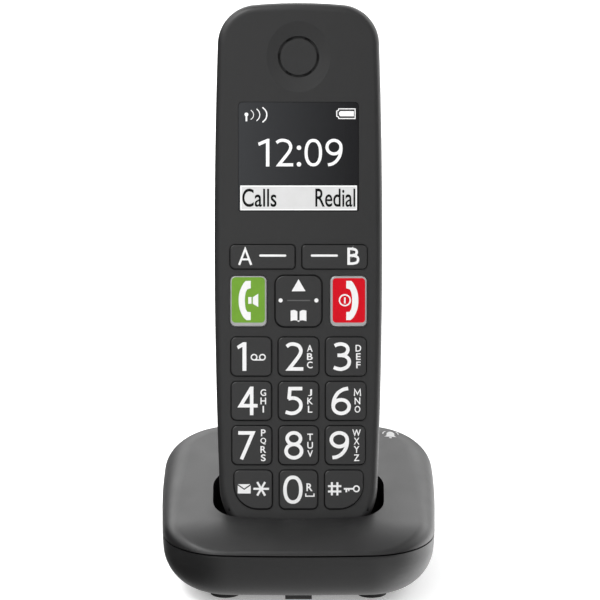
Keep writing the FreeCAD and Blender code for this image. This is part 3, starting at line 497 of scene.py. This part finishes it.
ONE = [(-4.29, 3.17), (-3.95, 2.20), (-2.62, 2.95), (-2.62, -4.29), (-1.45, -4.29),
       (-1.45, 4.31), (-2.45, 4.31)]
DIGITS = {
    "2": [(smooth([(-3.55, 3.02), (-2.65, 3.62), (-1.45, 3.75), (0.0, 3.25), (0.70, 1.98),
                   (0.40, 0.62), (-0.75, -1.05)]) + [(-2.85, -3.71), (1.44, -3.71)], False)],
    "3": [(smooth([(-3.35, 3.25), (-2.4, 3.66), (-1.15, 3.75), (0.15, 3.2), (0.62, 2.1),
                   (0.12, 0.98), (-1.15, 0.42), (-2.5, 0.40)]), False),
          (smooth([(-1.5, 0.42), (-0.1, 0.10), (0.85, -0.75), (1.02, -1.9), (0.35, -3.1),
                   (-1.2, -3.75), (-2.5, -3.65), (-3.6, -3.22)]), False)],
    "4": [([(0.09, 4.29), (0.09, -4.29)], False),
          ([(0.02, 3.95), (-3.25, -1.43), (1.87, -1.43)], False)],
    "5": [([(1.14, 3.71), (-2.55, 3.71), (-2.86, 0.55)], False),
          (smooth([(-3.05, 0.62), (-1.9, 0.88), (-0.6, 0.66), (0.42, -0.2), (0.72, -1.4),
                   (0.3, -2.62), (-0.9, -3.5), (-2.35, -3.72), (-3.85, -3.3)]), False)],
    "6": [(oval(-1.33, -1.70, 2.38, 2.04), True),
          (smooth([(0.75, 3.75), (-0.75, 3.42), (-2.3, 2.4), (-3.28, 0.9), (-3.68, -0.7),
                   (-3.71, -1.7)]), False)],
    "7": [([(-4.09, 3.71), (0.30, 3.71), (-3.12, -4.22)], False)],
    "8": [(oval(-1.40, 2.02, 2.00, 1.72), True), (oval(-1.40, -1.73, 2.33, 2.02), True)],
    "9": [(oval(-1.76, 1.68, 2.38, 2.06), True),
          (smooth([(0.62, 1.75), (0.58, 0.5), (0.12, -1.1), (-0.95, -2.55), (-2.35, -3.42),
                   (-3.8, -3.72)]), False)],
    "0": [(oval(-1.68, 0.0, 2.38, 3.72, 2.25), True)],
}
COLUMNS = {
    "2": ("ABC", 3.40), "3": ("DEF", 3.78), "4": ("GHI", 3.58), "5": ("JKL", 3.49),
    "6": ("MNO", 3.55), "7": ("PQRS", 3.43), "8": ("TUV", 3.49), "9": ("WXYZ", 3.44),
}
WIDE_LETTERS = {"W": 2.55, "M": 2.15, "I": 0.42, "J": 1.15, "L": 1.35, "E": 1.4, "F": 1.3,
                "S": 1.45, "P": 1.4}
LETTER_PITCH = 2.5
LETTER_M = [(-0.92, -1.0), (-0.80, 0.95), (0.0, -0.45), (0.80, 0.95), (0.92, -1.0)]
ROW_PITCH = 13.32
ROW_LOW = 16.8
ROW_ASIDE = (13.6, 14.0, 14.15, 14.2)


def key_place(name):
    """Middle of a digit key in the handset's frame."""
    rows = ("star", "0", "hash"), ("7", "8", "9"), ("4", "5", "6"), ("1", "2", "3")
    for level, row in enumerate(rows):
        if name in row:
            return ROW_ASIDE[level] * (row.index(name) - 1), ROW_LOW + ROW_PITCH * level
    raise KeyError(name)


def draw_digit(drawing, digit, pen=PEN):
    if digit == "1":
        return drawing.polygon(ONE)
    for points, closed in DIGITS[digit]:
        drawing.stroke(points, pen, closed)
    return drawing


def draw_letters(drawing, letters, across):
    for n, letter in enumerate(letters):
        level = LETTER_PITCH * ((len(letters) - 1) / 2 - n)
        if letter == "M":
            drawing.stroke([(across + x, level + z) for x, z in LETTER_M], 0.34)
        else:
            drawing.text(letter, (across, level), 2.02, WIDE_LETTERS.get(letter, 1.7), bold=0.014)


def print_digit_keys(ink):
    for digit in "1234567890":
        drawing = Drawing(*key_place(digit))
        draw_digit(drawing, digit)
        if digit in COLUMNS:
            draw_letters(drawing, *COLUMNS[digit])
        if digit == "1":
            for x in (0.86, 3.36):
                drawing.stroke(oval(x, -0.19, 0.84, 0.82, count=28), 0.36, True)
            drawing.stroke([(0.86, -1.01), (3.36, -1.01)], 0.36)
        if digit == "0":
            drawing.text("R", (3.30, 0.72), 2.35, 1.85, bold=0.02)
            drawing.stroke([(2.18, -1.15), (2.18, -1.95), (4.65, -1.95), (4.65, -1.15)], 0.36)
        drawing.lay(f"legend_{digit}", f"key_{digit}", on_keys, ink)


def print_star_and_hash(ink):
    star = Drawing(*key_place("star"))
    star.polygon([(-4.65, -1.16), (-0.75, -1.16), (-0.75, 1.25), (-2.70, -0.10), (-4.65, 1.25)])
    star.polygon([(-4.55, 1.63), (-2.70, 0.34), (-0.85, 1.63)])
    for angle in (0, 60, 120):
        c, s = math.cos(math.radians(angle)), math.sin(math.radians(angle))
        star.stroke([(2.39 - 2.35 * c, 0.25 - 2.35 * s), (2.39 + 2.35 * c, 0.25 + 2.35 * s)], 0.64)
    star.lay("legend_star", "key_star", on_keys, ink)
    hash_ = Drawing(*key_place("hash"))
    for x in (-3.58, -1.92):
        hash_.stroke([(x, -1.73), (x, 2.23)], 0.60)
    for z in (-0.55, 1.05):
        hash_.stroke([(-4.75, z), (-0.75, z)], 0.60)
    hash_.stroke([(0.02, 0.25), (2.85, 0.25)], 0.50)
    hash_.stroke([(0.75, 0.25), (0.75, -0.78)], 0.50)
    hash_.stroke([(1.5, 0.25), (1.5, -0.45)], 0.45)
    hash_.stroke(oval(3.78, 0.25, 0.84, 0.84, count=28), 0.42, True)
    hash_.lay("legend_hash", "key_hash", on_keys, ink)


def print_memory_keys(ink):
    left = Drawing(-10.8, 86.7)
    left.stroke([(-7.02, -2.41), (-5.21, 2.35), (-3.40, -2.41)], 0.66)
    left.stroke([(-6.35, -0.75), (-4.07, -0.75)], 0.58)
    left.polygon(rounded(-0.98, 7.13, 0.05, 0.72, 0.32))
    left.lay("legend_memory_a", "key_memory_a", on_keys, ink)
    right = Drawing(10.8, 86.7)
    right.polygon(rounded(-7.10, 1.01, 0.05, 0.72, 0.32))
    right.stroke([(4.27, -2.41), (4.27, 2.79)], 0.80)
    right.stroke([(4.27, 2.39), (5.4, 2.39)]
                 + smooth([(5.4, 2.39), (6.35, 2.1), (6.68, 1.42), (6.35, 0.72), (5.4, 0.42)])
                 + [(4.27, 0.42)], 0.76)
    right.stroke([(5.4, 0.42)]
                 + smooth([(5.4, 0.42), (6.75, 0.02), (7.08, -0.82), (6.7, -1.68), (5.4, -2.02)])
                 + [(4.27, -2.02)], 0.76)
    right.lay("legend_memory_b", "key_memory_b", on_keys, ink)


def receiver_outline(way):
    """A telephone receiver standing on end, its back to the side that way points to."""
    back = smooth([(0.60, -5.68), (1.59, -4.73), (2.66, -2.40), (2.98, 0.2), (2.66, 2.85),
                   (1.59, 5.20), (0.85, 6.08)])
    belly = smooth([(0.36, 3.58), (0.89, 2.40), (1.11, 0.2), (0.89, -2.10), (0.36, -3.20)])
    points = ([(-0.66, -5.68)] + back + [(-0.66, 6.11), (-0.66, 3.86)] + belly
              + [(-0.66, -3.30)])
    return [(x * way, z) for x, z in points]


def print_call_keys(materials):
    ink = materials["ink"]
    Drawing(-15.0, 73.4).polygon(rounded(-5.08, 4.92, -6.45, 7.2, 1.15)).lay(
        "talk_panel", "key_talk", on_keys, materials["green"], proud=0.02, slot="key_green")
    talk = Drawing(-15.0, 73.4)
    talk.polygon(receiver_outline(-1))
    talk.polygon([(-0.10, -0.79), (0.88, -0.79), (0.88, 1.24), (-0.10, 1.24)])
    talk.polygon([(1.28, -0.79), (2.92, -1.78), (2.92, 2.25), (1.28, 1.18)])
    talk.lay("legend_talk", "key_talk", on_keys, ink, proud=0.045)
    Drawing(15.0, 73.4).polygon(rounded(-4.75, 5.02, -6.45, 6.92, 1.05)).lay(
        "end_panel", "key_end", on_keys, materials["red"], proud=0.02, slot="key_red")
    end = Drawing(15.0, 73.4)
    end.polygon(receiver_outline(1))
    end.stroke(oval(-1.08, 0.28, 1.62, 1.62, count=40), 0.42, True)
    end.polygon([(-1.34, -0.68), (-0.84, -0.68), (-0.84, 1.12), (-1.34, 1.12)])
    end.lay("legend_end", "key_end", on_keys, ink, proud=0.045)


def print_navigation(materials):
    nav = Drawing(0.0, 73.4)
    nav.polygon([(-2.07, 2.98), (2.10, 2.98), (0.02, 6.59)])
    for x in (-5.37, 5.37):
        nav.polygon(oval(x, 0.22, 0.62, 0.62, count=28))
    page = smooth([(0.34, -5.85), (1.3, -5.72), (2.36, -6.0)])
    top = smooth([(2.36, -2.85), (1.3, -2.66), (0.34, -3.05)])
    nav.polygon(page + top)
    nav.polygon([(-x, z) for x, z in reversed(page + top)])
    nav.polygon([(-0.30, -6.15), (0.30, -6.15), (0.30, -5.80), (-0.30, -5.80)])
    nav.lay("legend_navigation", "navigation_key", on_keys, materials["ink"])
    Drawing(0.0, 73.4).stroke([(-3.4, 0.22), (3.5, 0.22)], 0.34).lay(
        "navigation_line", "navigation_key", on_keys, materials["engraving"], proud=0.015)


def print_paging_sign(ink):
    """A bell on the base over the paging button: it calls the handset."""
    sign = Drawing(28.0, 26.0)
    sign.polygon(smooth([(-1.9, -1.1), (-1.25, -0.5), (-1.15, 0.9), (-0.65, 1.7), (0.0, 1.95),
                         (0.65, 1.7), (1.15, 0.9), (1.25, -0.5), (1.9, -1.1)], 4))
    sign.polygon(oval(0.0, -1.65, 0.45, 0.32, count=20))
    for way in (-1, 1):
        sign.stroke([(way * x, z) for x, z in smooth([(1.6, 2.1), (2.2, 1.3), (2.35, 0.4)], 4)], 0.3)
    sign.lay("paging_sign", "base", lambda x: 0.0, ink, place=on_base)


# ---- what the display shows ----

def light_display(materials):
    lit = materials["lit"]
    middle = 116.8
    signs = Drawing(0.0, middle)
    signs.polygon(oval(-15.64, 12.65, 0.58, 0.58, count=20))
    signs.stroke([(-15.64, 12.65), (-15.64, 10.61)], 0.52)
    for x, bulge, reach, pen in ((-14.34, 0.85, 1.42, 0.22), (-12.58, 0.95, 1.80, 0.28),
                                 (-10.82, 1.30, 2.25, 0.38)):
        signs.stroke(smooth([(x, 12.55 + reach), (x + bulge * 0.75, 12.55 + reach * 0.55),
                             (x + bulge, 12.55), (x + bulge * 0.75, 12.55 - reach * 0.55),
                             (x, 12.55 - reach)]), pen)
    signs.stroke([(12.1, 14.34), (17.0, 14.34), (17.0, 11.44), (12.1, 11.44), (11.95, 11.95),
                  (11.48, 12.1), (11.48, 13.68), (11.95, 13.83)], 0.30, True)
    signs.polygon([(12.55, 12.10), (16.62, 12.10), (16.62, 13.68), (12.55, 13.68),
                   (12.15, 13.2), (12.15, 12.58)])
    signs.lay("display_signs", "handset", on_window, lit, slot="display_pane")
    clock = Drawing()
    pen, tall = 0.92, 0.985
    level = middle + 1.2
    clock.at(-7.24, level).polygon([(-4.9, 2.95), (-4.65, 2.02), (-2.53, 2.95), (-2.53, -4.16),
                                    (-1.50, -4.16), (-1.50, 4.16), (-2.1, 4.16)])
    clock.at(-3.05, level, 1.0, tall)
    draw_digit(clock, "2", pen)
    clock.at(5.98, level, 0.91, tall)
    draw_digit(clock, "0", pen)
    clock.at(12.2, level, 0.88, tall)
    draw_digit(clock, "9", pen)
    clock.at(0.0, middle)
    for z in (2.66, -2.30):
        clock.polygon(oval(0.14, z, 0.68, 0.68, count=24))
    clock.lay("display_clock", "handset", on_window, lit, slot="display_pane")
    frame_ = Drawing(0.0, middle).polygon(rounded(-17.5, 17.55, -16.1, -8.67, 0.12, 2))
    frame_.lay("display_bar_edge", "handset", on_window, lit, proud=0.02, slot="display_pane")
    bar = Drawing(0.0, middle).polygon(rounded(-17.15, 17.2, -15.72, -9.05, 0.05, 2))
    bar.lay("display_bar", "handset", on_window, materials["bar"], proud=0.03,
            slot="display_pane")
    words = Drawing(0.0, middle)
    words.text("Calls", (-11.75, -12.35), 5.5, 10.3, bold=0.010)
    words.text("Redial", (11.05, -12.35), 5.5, 12.0, bold=0.010)
    words.lay("display_words", "handset", on_window, materials["dark_segments"], proud=0.045,
              slot="display_pane")


# ---- finishes of the CAD nodes ----

FINISHES = {
    "face": ("handset_front_cover",),
    "handset": ("handset_back_cover", "battery_door", "earpiece_disc"),
    "base": ("base_top_cover", "base_bottom_cover", "paging_button"),
    "rim": ("key_talk", "key_end"),
    "glass": ("display_window",),
    "inner": ("display_module", "receiver", "microphone", "loudspeaker", "receiver_gasket",
              "navigation_pivot", "paging_switch"),
    "silicone": ("keypad_mat",),
    "board": ("handset_board", "base_board"),
    "gold": ("dome_contacts", "handset_charge_contacts", "socket_contacts"),
    "spring": ("charge_spring_left", "charge_spring_right", "battery_springs",
               "battery_contact_plates"),
    "steel": ("handset_screws", "radio_shield"),
    "black_steel": ("base_screws",),
    "sleeve": ("battery_left", "battery_right"),
    "socket": ("power_socket", "line_socket"),
    "rubber": ("base_feet",),
}


def finish_nodes(materials):
    """Every CAD node not named in FINISHES is a black key."""
    finish = {node: kind for kind, nodes in FINISHES.items() for node in nodes}
    for name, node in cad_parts.items():
        material = materials[finish.get(name, "key")]
        for place in node.material_slots:
            place.material = material


make_camera()
make_world()
make_lamp()
make_floor()
materials = make_materials()
finish_nodes(materials)
print_digit_keys(materials["ink"])
print_star_and_hash(materials["ink"])
print_memory_keys(materials["ink"])
print_call_keys(materials)
print_navigation(materials)
print_paging_sign(materials["ink"])
light_display(materials)
